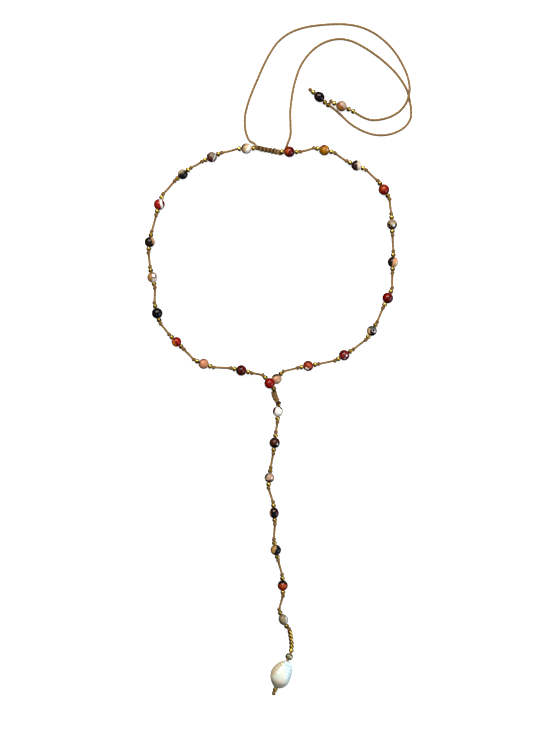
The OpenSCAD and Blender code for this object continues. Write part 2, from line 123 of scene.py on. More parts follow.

# How each stone is coloured. The slot column is not used; each stone's finish is named agate_ and the stone's
# name. Seen from above, the first colour
# gives way to the second in the direction of turn, at edge (from -1 to 1) over the width soft. A
# band of the third colour crosses at place, as wide as width, square to its own turn. Veins and
# specks go from 0 to 1. A patch is a round spot: its colour, its place to the right and up, its size. Where a
# crescent, band or patch is painted light, shade, sheen or glow, a comment over its stone says so.
Look = namedtuple(
    "Look",
    "slot first second turn edge soft third band_turn place width veins specks patches",
    defaults=((),),
)
LOOKS = {
    # stone_01: the umber crescent on the left is painted shade, and the milk band on the lower right is a
    # painted glow of light through the stone
    "stone_01": ("cream", "umber", "sand", -28, -0.42, 0.6, "milk", -28, 0.5, 0.44, 0.15, 0),
    # stone_02: the thin ice band on the right is a painted highlight
    "stone_02": ("brown", "chestnut", "loam", 40, -0.05, 0.6, "ice", -20, 0.55, 0.15, 0.3, 0,
        [("chestnut", -0.1, -0.6, 0.45), ("taupe", 0, 0.5, 0.35)]),
    "stone_03": ("tan", "sandy", "teal", -55, -0.3, 0.8, "sand", -48, -0.6, 0.2, 0.15, 0),
    "stone_04": ("red", "red", "wine", 0, 0.72, 0.2, "white", 14, 0.42, 0.3, 0.05, 0),
    "stone_05": ("black", "black", "sandy", 20, 0.74, 0.3, "clay", 24, 0.62, 0.14, 0.2, 0,
        [("smoke", -0.3, -0.1, 0.4)]),
    "stone_06": ("tan", "tan", "white", -20, 0.36, 0.16, "honey", -20, -0.85, 0.3, 0.1, 0,
        [("garnet", 0.4, 0.24, 0.7), ("white", 0.3, 0.28, 0.44)]),
    "stone_07": ("black", "black", "ink", -20, 0.2, 0.6, "coffee", 60, 0.5, 0.1, 0.1, 0),
    "stone_08": ("orange", "flame", "red", 22, -0.22, 0.2, "garnet", 22, -0.1, 0.12, 0.2, 0,
        [("carnelian", 0.1, 0.3, 0.3)]),
    # stone_09: the smoke colour on the upper left is painted shade
    "stone_09": ("peach", "smoke", "clay", -48, -0.5, 0.5, "salmon", 200, 0.2, 0.3, 0.15, 0),
    "stone_10": ("black", "olive", "garnet", 5, -0.42, 0.3, "black", 5, -0.05, 0.2, 0.1, 0,
        [("oxblood", 0.05, -0.3, 0.4)]),
    "stone_11": ("red", "red", "crimson", -80, -0.35, 0.6, "copper", -40, 0.9, 0.15, 0.1, 0),
    # stone_12: the smoke colour at the top is painted shade
    "stone_12": ("peach", "smoke", "skin", -80, -0.4, 0.5, "rose", -60, 0.1, 0.2, 0.3, 0,
        [("beige", 0.35, -0.3, 0.3)]),
    # stone_13: the maroon band at the top is painted shade, and the copper patch right of the middle is a
    # painted glow of light through the stone
    "stone_13": ("orange", "russet", "oxblood", -80, 0.68, 0.2, "maroon", -84, -0.9, 0.2, 0.1, 0,
        [("copper", 0.3, 0, 0.35), ("white", -0.35, -0.5, 0.31), ("white", 0, -0.6, 0.24)]),
    # stone_14: the white patch on the right is a painted highlight
    "stone_14": ("brown", "crimson", "wine", -45, 0.15, 0.5, "garnet", -60, -0.6, 0.3, 0.2, 0.1,
        [("plum", 0.3, -0.35, 0.5), ("white", 0.45, -0.1, 0.2), ("dusk", 0.05, -0.6, 0.22)]),
    # stone_15: the small white patch low on the right is a painted highlight
    "stone_15": ("tan", "beige", "black", -5, -0.24, 0.2, "moss", 90, 0.7, 0.3, 0.1, 0,
        [("ice", 0.35, 0, 0.5), ("black", 0.3, 0.12, 0.36), ("oxblood", 0.1, -0.35, 0.3),
        ("white", 0.6, -0.2, 0.2)]),
    # stone_16: the rust patch near the top is a painted highlight, and the plum patch on the right is a
    # painted sheen
    "stone_16": ("red", "crimson", "garnet", -45, -0.1, 0.8, "maroon", -60, 0.95, 0.3, 0.1, 0,
        [("rust", -0.1, 0.25, 0.26), ("plum", 0.6, -0.1, 0.42)]),
    "stone_17": ("brown", "black", "peach", -12, 0.02, 0.24, "ivory", -22, 0.78, 0.34, 0.1, 0,
        [("umber", -0.5, 0.3, 0.4), ("black", 0.05, 0.75, 0.3)]),
    # stone_18: the ice patch low on the right is a painted highlight
    "stone_18": ("brown", "sand", "umber", -65, 0.25, 0.5, "taupe", -75, -0.4, 0.25, 0.5, 0.1,
        [("ice", 0.25, -0.25, 0.36), ("coffee", -0.6, -0.2, 0.34), ("coffee", 0.1, -0.8, 0.25)]),
    # stone_19: the copper patch near the middle is a painted glow of light through the stone
    "stone_19": ("orange", "russet", "crimson", -45, 0.1, 1, "garnet", -60, 0.9, 0.35, 0.1, 0,
        [("copper", -0.15, 0.15, 0.4)]),
    "stone_20": ("brown", "maroon", "cream", 0, 0.22, 0.1, "milk", -5, 0.7, 0.22, 0.15, 0,
        [("umber", -0.2, 0.6, 0.3)]),
    # stone_21: the ivory patch on the right is a painted highlight
    "stone_21": ("orange", "syrup", "rust", 90, 0.6, 0.5, "amber", -30, 0.1, 0.3, 0.2, 0,
        [("ivory", 0.58, -0.05, 0.16)]),
    # stone_22: the copper patch on the left is a painted glow of light through the stone
    "stone_22": ("red", "ember", "garnet", -20, -0.1, 0.7, "oxblood", -35, 0.85, 0.3, 0.1, 0,
        [("copper", -0.4, -0.05, 0.4), ("wine", 0.5, -0.3, 0.25)]),
    "drop_stone_1": ("cream", "garnet", "white", -15, -0.5, 0.16, "smoke", 55, 0.86, 0.16, 0, 0,
        [("milk", 0.2, -0.1, 0.3)]),
    # drop_stone_2: the ice patch on the right is a painted highlight
    "drop_stone_2": ("brown", "umber", "black", -50, 0.1, 0.6, "chestnut", 90, 0.3, 0.2, 0.1, 0,
        [("chestnut", -0.1, 0.1, 0.5), ("ice", 0.55, -0.2, 0.22)]),
    # drop_stone_3: the white patch on the right is a painted highlight
    "drop_stone_3": ("peach", "dusk", "chestnut", -85, 0.45, 0.3, "umber", 150, 0.85, 0.3, 0.1, 0.75,
        [("clay", 0.4, 0.25, 0.4), ("white", 0.5, 0, 0.22), ("sand", -0.3, -0.2, 0.3)]),
    "drop_stone_4": ("black", "peach", "black", 0, -0.6, 0.2, "plum", -10, 0.75, 0.2, 0.1, 0,
        [("chestnut", 0, 0.6, 0.4)]),
    "drop_stone_5": ("orange", "honey", "ink", -16, 0.02, 0.14, "umber", -12, -0.95, 0.2, 0.15, 0,
        [("ink", -0.05, -0.7, 0.4)]),
    # drop_stone_6: the copper patch in the middle is a painted glow of light through the stone
    "drop_stone_6": ("brown", "coffee", "ember", -90, -0.3, 0.3, "red", -90, 0.7, 0.3, 0.1, 0,
        [("copper", 0.1, 0, 0.5)]),
    "drop_stone_7": ("peach", "coffee", "khaki", 40, -0.42, 0.5, "ice", 10, 0.66, 0.22, 0.3, 0.1),
    "outer_tail_stone": ("peach", "tawny", "dusk", 45, 0.1, 0.2, "ochre", 45, -0.9, 0.3, 0.1, 0.45),
    "inner_tail_stone": ("black", "smoke", "black", -30, -0.1, 0.6, "maroon", 100, 0.5, 0.2, 0.1, 0),
}

BRASS = ["brass_left_upper", "brass_left_lower", "brass_right_lower", "brass_right_upper", "brass_drop_upper",
         "brass_drop_lower", "outer_tail_brass", "inner_tail_brass"]

Bead = namedtuple("Bead", "middle way across along")


# Shapes

def deselect():
    if bpy.context.object and bpy.context.object.mode != "OBJECT":
        bpy.ops.object.mode_set(mode="OBJECT")
    bpy.ops.object.select_all(action="DESELECT")


def merged(pieces, name):
    """The pieces joined to one, under a new name."""
    deselect()
    for piece in pieces:
        piece.select_set(True)
    bpy.context.view_layer.objects.active = pieces[0]
    if len(pieces) > 1:
        bpy.ops.object.join()
    pieces[0].name = name
    pieces[0].data.name = name
    return pieces[0]


def dress(piece, nodes, finish):
    """Gives a finished piece its material, and its place on the model."""
    piece.data.materials.clear()
    piece.data.materials.append(finish)
    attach(piece, "root")
    if nodes:
        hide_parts(*nodes)
    return piece


def measured(node):
    """Each drilled bead of a CAD node: its middle, the way of its hole, its width and length."""
    shape = bmesh.new()
    shape.from_mesh(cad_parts[node].data)
    bmesh.ops.remove_doubles(shape, verts=shape.verts, dist=1e-7)
    left = set(shape.verts)
    beads = []
    while left:
        found = [left.pop()]
        for vert in found:
            for edge in vert.link_edges:
                other = edge.other_vert(vert)
                if other in left:
                    left.discard(other)
                    found.append(other)
        points = np.array([vert.co for vert in found])
        middle = points.mean(axis=0)
        spread, ways = np.linalg.eigh(np.cov((points - middle).T))
        way = ways[:, 0] if spread[1] - spread[0] > spread[2] - spread[1] else ways[:, 2]
        out = (points - middle) @ way
        across = np.linalg.norm(points - middle - np.outer(out, way), axis=1).max() * 2
        beads.append(Bead(Vector(middle), Vector(way), float(across), float(out.max() - out.min())))
    shape.free()
    return beads


def settled(way, toward):
    """The way, or its opposite, whichever points more toward the other."""
    return way if way.dot(toward) > 0 else -way


def turned(way, spin=0.0):
    """Turns a piece's Z axis to a way, its X axis kept level, after a spin about it."""
    side = UP.cross(way).normalized()
    across = way.cross(side)
    return Matrix((side, across, way)).transposed().to_4x4() @ Matrix.Rotation(spin, 4, "Z")


def begin_edit():
    """Opens the active piece for editing, all of it selected."""
    bpy.ops.object.mode_set(mode="EDIT")
    bpy.ops.mesh.select_all(action="SELECT")


def bridge_hole():
    """Bridges the two open ends of the shell being edited."""
    bpy.ops.mesh.select_all(action="DESELECT")
    bpy.ops.mesh.select_mode(type="EDGE")
    bpy.ops.mesh.select_non_manifold(extend=False)
    bpy.ops.mesh.bridge_edge_loops()


def end_edit():
    """Turns all faces outward and closes the edit."""
    bpy.ops.mesh.select_all(action="SELECT")
    bpy.ops.mesh.normals_make_consistent(inside=False)
    bpy.ops.object.mode_set(mode="OBJECT")


def drilled_bead(name, segments, rings, hole):
    """A ball of radius 1 with a hole along Z: its poles are cut flat, bridged and rounded."""
    deselect()
    bpy.ops.mesh.primitive_uv_sphere_add(segments=segments, ring_count=rings, radius=1)
    bead = bpy.context.object
    bead.name = name
    mouth = math.sqrt(1 - hole * hole)
    for side in (-1, 1):
        begin_edit()
        bpy.ops.mesh.bisect(plane_co=(0, 0, side * mouth), plane_no=(0, 0, side), clear_outer=True)
    bridge_hole()
    bpy.ops.mesh.select_all(action="DESELECT")
    mesh = bmesh.from_edit_mesh(bead.data)
    for edge in mesh.edges:
        edge.select = all(abs(abs(vert.co.z) - mouth) < 1e-4 for vert in edge.verts)
    mesh.select_flush_mode()
    bmesh.update_edit_mesh(bead.data)
    bpy.ops.mesh.bevel(offset=0.06, segments=2, affect="EDGES")
    end_edit()
    bpy.ops.object.shade_smooth_by_angle(angle=math.radians(50))
    return bead


def placed(master, name, bead, hole, spin=0.0):
    """A copy of a drilled bead, with its own mesh, at its place on the cord. The hole is the one
    that has cut the ends off a ball, and 0 for a bead that reaches from -1 to 1."""
    twin = master.copy()
    twin.data = master.data.copy()
    twin.name = name
    bpy.context.scene.collection.objects.link(twin)
    wide, half = bead.across / 2, bead.along / 2 / math.sqrt(1 - hole * hole)
    twin.data.transform(
        Matrix.Translation(bead.middle) @ turned(bead.way, spin) @ Matrix.Diagonal((wide, wide, half, 1))
    )
    return twin


def drawn_ring(name, rows, sides):
    """A shell drawn up along Z from a ring. Each row is its height, its two half widths, how far
    it is shifted along X, and its turn. The last ring is bridged to the first as a hole."""
    deselect()
    height, wide, deep, shift, turn = rows[0]
    bpy.ops.mesh.primitive_circle_add(vertices=sides, radius=1, fill_type="NOTHING")
    piece = bpy.context.object
    piece.name = name
    begin_edit()
    bpy.ops.transform.resize(value=(wide, deep, 1), center_override=(0, 0, 0))
    bpy.ops.transform.translate(value=(shift, 0, height))
    for row in rows[1:]:
        up, across, thick, aside, spin = row
        pivot = (aside, 0, up)
        bpy.ops.mesh.extrude_region_move(TRANSFORM_OT_translate={"value": (aside - shift, 0, up - height)})
        bpy.ops.transform.resize(value=(across / wide, thick / deep, 1), center_override=pivot)
        if spin != turn:
            bpy.ops.transform.rotate(value=spin - turn, orient_axis="Z", center_override=pivot)
        height, wide, deep, shift, turn = row
    bridge_hole()
    end_edit()
    return piece


# Lines of cord

def metres(points, height=0.5):
    """The points in metres, those without a height at the one given."""
    return [Vector((*point, height)[:3]) * MM for point in points]


def run(line, i):
    return (line[min(i + 1, len(line) - 1)] - line[max(i - 1, 0)]).normalized()


def longer(line, by):
    """A line taken straight on at both ends."""
    return [line[0] - by * run(line, 0), *line, line[-1] + by * run(line, len(line) - 1)]


def lane(line, beside=0.0, above=0.0):
    """A line that runs beside or above another."""
    made = []
    for i, point in enumerate(line):
        side = UP.cross(run(line, i)).normalized()
        made.append(point + beside * side + above * run(line, i).cross(side))
    return made


def smoothed(points, step):
    """An even line of points on a smooth curve through the given ones."""
    spans = [(b - a).length for a, b in zip(points, points[1:])]
    ways = []
    for i, _ in enumerate(points):
        before = (points[i] - points[i - 1]) / spans[i - 1] if i else None
        after = (points[i + 1] - points[i]) / spans[i] if i < len(spans) else None
        if before is None or after is None:
            ways.append(after or before)
        else:
            ways.append((before * spans[i] + after * spans[i - 1]) / (spans[i] + spans[i - 1]))
    line = []
    for i, span in enumerate(spans):
        count = max(1, round(span / step))
        for k in range(count):
            t = k / count
            line.append(
                (2 * t ** 3 - 3 * t ** 2 + 1) * points[i] + (t ** 3 - 2 * t ** 2 + t) * span * ways[i]
                + (3 * t ** 2 - 2 * t ** 3) * points[i + 1] + (t ** 3 - t ** 2) * span * ways[i + 1]
            )
    return [*line, points[-1]]


def length_of(line):
    return sum((b - a).length for a, b in zip(line, line[1:]))


def swept(name, line, radius, sides=10, ply=0.0, pitch=1.0, outward=None, raised=0):
    """A closed tube along a line, with the low relief of two plies laid round each other. Its UV
    map holds the length along it in millimetres and the share of the way round, which starts at
    the outward side if there is one. The share is raised by 1 in an overhand knot, by 2 in wound
    cord and by 3 in the strand of the sliding knot."""
    verts, rows, along = [], [], 0.0
    side = run(line, 0).orthogonal().normalized()
    for i, point in enumerate(line):
        way = run(line, i)
        side = outward[i] if outward else side
        side = (side - side.dot(way) * way).normalized()
        up = way.cross(side)
        along += (point - line[i - 1]).length if i else 0.0
        rows.append(along)
        for k in range(sides):
            angle = 2 * math.pi * k / sides
            swell = 1 + ply * math.cos(2 * angle - 2 * math.pi * along / pitch)
            verts.append(point + radius * swell * (math.cos(angle) * side + math.sin(angle) * up))
    faces, places = [], []
    for i in range(len(line) - 1):
        for k in range(sides):
            after = (k + 1) % sides
            faces.append((i * sides + k, i * sides + after, (i + 1) * sides + after, (i + 1) * sides + k))
            for j, n in ((0, 0), (0, 1), (1, 1), (1, 0)):
                places.append((rows[i + j] / MM, raised + (k + n) / sides))
    last = (len(line) - 1) * sides
    faces.append(tuple(reversed(range(sides))))
    faces.append(tuple(last + k for k in range(sides)))
    places += [(rows[0] / MM, raised + k / sides) for k in reversed(range(sides))]
    places += [(rows[-1] / MM, raised + k / sides) for k in range(sides)]
    mesh = bpy.data.meshes.new(name)
    mesh.from_pydata(verts, [], faces)
    layer = mesh.uv_layers.new(name="Along")
    layer.data.foreach_set("uv", [value for place in places for value in place])
    mesh.shade_smooth()
    piece = bpy.data.objects.new(name, mesh)
    bpy.context.scene.collection.objects.link(piece)
    return piece


def overhand_knot(name, middle, way, size, spin):
    """A tight overhand knot: a strand that goes twice round the cord and three times under itself."""
    place = Matrix.Translation(middle) @ turned(way, spin)
    line = []
    for i in range(49):
        t = 2 * math.pi * i / 48
        out = (0.5 + 0.2 * math.cos(3 * t)) * size / 2
        up = 0.5 * math.sin(3 * t) * size / 2
        line.append(place @ Vector((out * math.cos(2 * t), out * math.sin(2 * t), up)))
    outward = [(point - middle).normalized() for point in line]
    # The knot's turns are given painted shade on their inner side.
    return swept(name, line, 0.34 * size / 2, 8, 0.04, 1.1 * MM, outward, 1)


# Finishes

class Tone:
    """A number that changes over a surface. Python's arithmetic on it adds Math nodes."""

    def __init__(self, finish, socket):
        self.finish = finish
        self.socket = socket

    def calc(self, operation, *values):
        return self.finish.node("Math", {"operation": operation}, *values)

    def __add__(self, other):
        return self.calc("ADD", self, other)

    def __sub__(self, other):
        return self.calc("SUBTRACT", self, other)

    def __rsub__(self, other):
        return self.calc("SUBTRACT", other, self)

    def __mul__(self, other):
        return self.calc("MULTIPLY", self, other)

    def __abs__(self):
        return self.calc("ABSOLUTE", self)

    def sine(self):
        return self.calc("SINE", self)

    def rising(self, low, high):
        """0 below low, 1 above high, and a smooth step between them."""
        return self.finish.node("MapRange", {"interpolation_type": "SMOOTHSTEP"}, self, low, high, 0.0, 1.0)

    __radd__ = __add__
    __rmul__ = __mul__


class Finish:
    """A material under construction."""

    def __init__(self, name, **constants):
        self.material = bpy.data.materials.new(name)
        self.material.use_nodes = True
        self.tree = self.material.node_tree
        self.shader = self.tree.nodes["Principled BSDF"]
        for socket, value in constants.items():
            self.shader.inputs[socket.replace("_", " ")].default_value = value

    def node(self, kind, settings, *values, out=0, **named):
        """Adds a shader node, with its settings made first and then its sockets, and gives an output."""
        made = self.tree.nodes.new("ShaderNode" + kind)
        for name, value in settings.items():
            setattr(made, name, value)
        sockets = [socket for socket in made.inputs if socket.enabled and not socket.is_unavailable]
        pairs = list(zip(sockets, values)) + [(made.inputs[name], value) for name, value in named.items()]
        for socket, value in pairs:
            if isinstance(value, Tone):
                self.tree.links.new(value.socket, socket)
            else:
                socket.default_value = value
        return Tone(self, made.outputs[out])

    def parts(self, vector):
        split = self.node("SeparateXYZ", {}, vector)
        return [Tone(self, socket) for socket in split.socket.node.outputs]

    def here(self, middle=(0, 0, 0), size=1.0):
        """Object coordinates from a middle, in units of a size."""
        place = self.node("TexCoord", {}, out="Object")
        return self.node("Mapping", {"vector_type": "TEXTURE"}, place, middle, (0, 0, 0), [size] * 3)

    def along(self):
        """The piece's own UV map: millimetres along the cord, and the share of the way round."""
        return self.node("UVMap", {"uv_map": "Along"})

    def noise(self, vector, scale, detail=3.0, rough=0.5):
        """Soft noise about 0."""
        return self.node("TexNoise", {}, Vector=vector, Scale=scale, Detail=detail, Roughness=rough) - 0.5

    def mix(self, mask, first, second, way="MIX"):
        return self.node(
            "Mix", {"data_type": "RGBA", "blend_type": way, "clamp_factor": True},
            mask, first, second, out=2
        )

    def bump(self, height, strength, distance):
        return self.node("Bump", {}, Strength=strength, Distance=distance, Height=height)

    def use(self, **inputs):
        for name, tone in inputs.items():
            self.tree.links.new(tone.socket, self.shader.inputs[name.replace("_", " ")])
        return self.material


def colour(code):
    """A palette name or a hex code as linear colour."""
    code = PALETTE.get(code, code).lstrip("#")
    values = [int(code[i:i + 2], 16) / 255 for i in (0, 2, 4)]
    return (*[v / 12.92 if v <= 0.04045 else ((v + 0.055) / 1.055) ** 2.4 for v in values], 1.0)


def agate(name, look, middle, radius):
    """Polished agate: two colours that meet in a cloudy edge, a band across them, veins, specks and round
    patches. Some crescents, bands and patches are painted highlights, sheen, glow or shade, and painted shade
    darkens the rim and the upper left.
    """
    settings = bpy.context.scene.necklace_beads
    finish = Finish(name, Specular_IOR_Level=0.3, IOR=1.5)
    here = finish.here(middle, radius)
    x, y, z = finish.parts(here)
    seed = sum(ord(letter) for letter in name) % 17
    cloud = finish.noise(finish.here(middle - Vector((seed, 2 * seed, 0)) * radius, radius), 1.3, 4)
    fine = finish.noise(here, 7, 4)
    turn, band = math.radians(look.turn), math.radians(look.band_turn)
    across = x * math.cos(turn) + y * math.sin(turn) + z * 0.12 + cloud * 0.34
    tint = finish.mix(
        across.rising(look.edge - look.soft / 2, look.edge + look.soft / 2),
        colour(look.first), colour(look.second)
    )
    off = abs(x * math.cos(band) + y * math.sin(band) + cloud * 0.4 - look.place)
    tint = finish.mix(1 - off.rising(look.width * 0.45, look.width), tint, colour(look.third))
    if look.veins:
        lines = (across * 19 + cloud * 10).sine().rising(0.55, 1.0) * (0.5 * look.veins)
        tint = finish.mix(lines, tint, colour(look.third))
        lines = (across * 13 + fine * 3 + 2).sine().rising(0.5, 1.0) * (0.55 * look.veins)
        tint = finish.mix(lines, tint, VEIN)
    if look.specks:
        specks = finish.noise(here, 6, 5, 0.7).rising(0.06, 0.14) * look.specks
        tint = finish.mix(specks, tint, colour("cream"))
    for patch, right, up, size in look.patches:
        spot = (right, up, math.sqrt(1 - right * right - up * up))
        off = finish.node("VectorMath", {"operation": "DISTANCE"}, here, spot, out="Value")
        tint = finish.mix(1 - (off + cloud * 0.35).rising(size * 0.65, size), tint, colour(patch))
    # Painted shade: the colour darkens toward the rim, most on the upper left, and stays full on top and
    # toward the lower right.
    painted_light = (z + x * 0.22 - y * 0.22).rising(-0.15, 0.85)
    tint = finish.mix(painted_light, finish.mix(0.7, tint, BLACK), tint)
    shade = (cloud * 0.9 + fine * 0.5 + 1).rising(0.55, 1.4)
    tint = finish.mix(0.3, tint, finish.mix(shade, (0.25, 0.22, 0.22, 1), (1.2, 1.2, 1.2, 1)), "MULTIPLY")
    return finish.use(
        Base_Color=tint,
        Roughness=fine * 0.1 + settings.polish,
        Normal=finish.bump(fine, 0.05, 0.00002),
    )


def brass():
    """Polished brass, browned where fingers don't rub it."""
    settings = bpy.context.scene.necklace_beads
    finish = Finish("polished_brass", Metallic=1.0)
    here = finish.here()
    worn = finish.noise(here, 900, 3).rising(-0.09, 0.15)
    tint = finish.mix(worn, (0.2, 0.1, 0.005, 1), (*settings.brass_colour, 1))
    dents = finish.noise(here, 1500, 2)
    return finish.use(
        Base_Color=tint, Roughness=0.33 - worn * 0.1, Normal=finish.bump(dents, 0.12, 0.00005)
    )


def plated_metal(middle, radius):
    """Pale plating with a painted highlight toward the upper right and painted shade toward the lower left.
    """
    finish = Finish("pale_plating", Metallic=1.0)
    here = finish.here()
    x, y, _ = finish.parts(finish.here(middle, radius))
    # Painted light: the mask named rubbed makes the plating lighter toward the upper right as a highlight and
    # darker toward the lower left as shade.
    rubbed = (x + y + finish.noise(here, 420, 2)).rising(-0.1, 0.7)
    tint = finish.mix(rubbed, (0.24, 0.21, 0.08, 1), (0.95, 0.92, 0.66, 1))
    return finish.use(
        Base_Color=tint, Roughness=finish.noise(here, 1200, 2) * 0.2 + 0.36,
        Normal=finish.bump(finish.noise(here, 2000, 2), 0.1, 0.00003)
    )


def nacre():
    """Pearl: warm white with faint mint and rose clouds and fine growth ridges, with painted light and shade:
    a beige upper-left edge, pale blue light on the right, a shadow toward the lower left, light ridge crests
    over shaded troughs, and a pale glow along the right and lower edges.
    """
    settings = bpy.context.scene.necklace_beads
    finish = Finish("nacre", Coat_Weight=0.5, Coat_Roughness=0.14, IOR=1.6, Emission_Strength=0.5)
    size = 4.5 * MM
    here = finish.here(PEARL_AT, size)
    x, y, z = finish.parts(here)
    cloud = finish.noise(here, 0.9, 3)
    other = finish.noise(finish.here(PEARL_AT + Vector((0.03, 0.01, 0)), size), 1.1, 3)
    slant = x * 0.57 + y * 0.82
    ridge = (slant * 20 + cloud * 8).sine() * (y * 0.9 + x * 0.5 + other).rising(-0.2, 0.5)
    fine = finish.noise(here, 9, 4)
    tint = (*settings.pearl_colour, 1)
    for mask, code in (
        (cloud.rising(-0.12, 0.16), "#EFFFF4"),
        (other.rising(0.0, 0.2) * 0.4, "#FFE9D8"),
        # painted shade: a warm beige edge on the upper left
        ((y - x + other * 0.5).rising(0.75, 1.15), "#DACAA0"),
        # painted light: a pale blue reflection on the right
        ((x + y * 0.1 + cloud * 0.5).rising(0.25, 0.75), "#D3EEFC"),
        # painted shadow toward the lower left
        ((x * -0.4 - y + cloud * 0.5).rising(0.25, 0.85) * 0.6, "#9A845C"),
        # painted highlight on the crests of the ridges, and painted shade in their troughs
        (ridge.rising(0.1, 1.0) * 0.45, "#FFFFFF"),
        ((0 - ridge).rising(0.3, 1.0) * 0.2, "#B0A484"),
    ):
        tint = finish.mix(mask, tint, colour(code))
    height = ridge + fine * 0.4 + cloud
    edge = 1 - z.rising(-0.2, 0.75)
    # Painted glow: the thin right and lower edges shine pale cyan by themselves, as if light came through
    # them.
    glow = finish.mix(edge * (x - y * 0.5).rising(-0.2, 0.7), BLACK, (0.85, 1, 1, 1))
    return finish.use(
        Base_Color=tint, Roughness=fine * 0.15 + 0.24, Normal=finish.bump(height, 0.5, 0.00014),
        Emission_Color=glow
    )


def waxed_cord():
    """Waxed cotton cord: two plies, their fibres, and wax that fills the grooves in places. Shade is painted
    into the grooves between the plies, onto wound cord and overhand knots where one turn lies against the
    next, and over all of the strand of the sliding knot."""
    settings = bpy.context.scene.necklace_cord
    tint, groove_shade = tuple(settings.tint), tuple(settings.shade)
    finish = Finish("waxed_cotton", Specular_IOR_Level=0.25)
    along, round_, _ = finish.parts(finish.along())
    turns = round_ * (4 * math.pi) - along * (2 * math.pi * MM / settings.twist)
    ply = turns.sine().rising(-1.0, 0.2)
    fibre = finish.noise(finish.here(size=MM), 2.2, 4)
    thread = (turns * 5 + fibre * 4).sine()
    wax = finish.noise(finish.here(size=MM), 0.35, 3)
    # Painted shade in the grooves between the two plies
    tone = finish.mix(ply, (*groove_shade, 1), (*tint, 1))
    tone = finish.mix((fibre + wax).rising(-0.15, 0.3) * 0.4, tone, (*[value * 1.4 for value in tint], 1))
    # Painted shade: wound cord and the overhand knots are darker on the flanks that face the next turn, and
    # the strand of the sliding knot is darker all over.
    outer = (round_ * (2 * math.pi) + math.pi / 2).sine().rising(0.15, 0.95)
    wound = round_.rising(0.99, 1.01) * 0.2 + round_.rising(2, 2.02) * 0.8
    tone = finish.mix(round_.rising(2.99, 3.01) * 0.3, tone, TURN_SHADE)
    tone = finish.mix(wound * (1 - outer), tone, TURN_SHADE)
    height = ply * 0.7 + thread * 0.12 + fibre * 0.5
    return finish.use(
        Base_Color=tone, Roughness=wax * 0.3 + 0.52, Normal=finish.bump(height, 0.4, 0.00008)
    )


# Settings

class NecklaceCord(bpy.types.PropertyGroup):
    diameter: FloatProperty(
        name="Cord diameter", description="Thickness of the waxed cord",
        default=0.00106, min=0.0008, max=0.0012, subtype="DISTANCE", unit="LENGTH")
    twist: FloatProperty(
        name="Twist", description="Length of one turn of the two plies",
        default=0.0018, min=0.001, max=0.006, subtype="DISTANCE", unit="LENGTH")
    knot_size: FloatProperty(
        name="Knot size", description="Width of an overhand knot",
        default=0.0019, min=0.0012, max=0.0022, subtype="DISTANCE", unit="LENGTH")
    sag: FloatProperty(
        name="Sag", description="How far the cord sinks between two stones",
        default=0.0007, min=0, max=0.001, subtype="DISTANCE", unit="LENGTH")
    tint: FloatVectorProperty(
        name="Cord colour", description="Colour of the waxed cord",
        default=(0.262, 0.14, 0.037), min=0, max=1, size=3, subtype="COLOR")
    # Painted shade between the plies
    shade: FloatVectorProperty(
        name="Groove colour", description="Colour between the plies",
        default=(0.175, 0.09, 0.021), min=0, max=1, size=3, subtype="COLOR")
    melt: FloatVectorProperty(
        name="Melted end", description="Colour of the melted end of the wrap",
        default=(0.03, 0.006, 0.004), min=0, max=1, size=3, subtype="COLOR")


class NecklaceBeads(bpy.types.PropertyGroup):
    polish: FloatProperty(
        name="Stone roughness", description="Roughness of the polished stones",
        default=0.12, min=0.02, max=0.6, subtype="FACTOR")
    stone_hole: FloatProperty(
        name="Stone hole", description="Hole of a stone as a share of its width",
        default=0.27, min=0.1, max=0.4, subtype="FACTOR")
    brass_hole: FloatProperty(
        name="Brass hole", description="Hole of a brass bead as a share of its width",
        default=0.55, min=0.3, max=0.6, subtype="FACTOR")
    brass_colour: FloatVectorProperty(
        name="Brass colour", description="Colour of the rubbed brass",
        default=(0.89, 0.63, 0.12), min=0, max=1, size=3, subtype="COLOR")
    pearl_colour: FloatVectorProperty(
        name="Pearl colour", description="Body colour of the pearl",
        default=(0.90, 0.87, 0.74), min=0, max=1, size=3, subtype="COLOR")


class NecklaceStage(bpy.types.PropertyGroup):
    camera_height: FloatProperty(
        name="Camera height", description="Height of the camera over the beads",
        default=0.6, min=0.3, max=1.5, subtype="DISTANCE", unit="LENGTH")
    view_height: FloatProperty(
        name="View height", description="Length of table that the picture shows from top to bottom",
        default=0.31332, min=0.1, max=1, subtype="DISTANCE", unit="LENGTH")
    floor_colour: FloatVectorProperty(
        name="Floor colour", description="Colour of the table",
        default=(0.93, 0.93, 0.93), min=0, max=1, size=3, subtype="COLOR")
    glow: FloatProperty(
        name="Table glow", description="How much the table shines by itself, as on a light table",
        default=0.8, min=0, max=2)
    window_power: FloatProperty(
        name="Window light", description="Power of the low window light on the right",
        default=2, min=0, max=100, unit="POWER")
    lamp_power: FloatProperty(
        name="Overhead light", description="Power of the broad light overhead",
        default=9.2, min=0, max=100, unit="POWER")
    sky: FloatProperty(
        name="Sky", description="Strength of the light from all round", default=0.16, min=0, max=3)


# Pieces

def stones_of(first, last, start):
    """The named stones of a string in order, each with its hole turned down the string."""
    names = [f"{first}{number}" for number in last]
    beads = [measured(name)[0] for name in names]
    made = []
    for i, bead in enumerate(beads):
        before = beads[i - 1].middle if i else start
        after = beads[i + 1].middle if i + 1 < len(beads) else 2 * bead.middle - before
        made.append((names[i], bead._replace(way=settled(bead.way, after - before))))
    return made


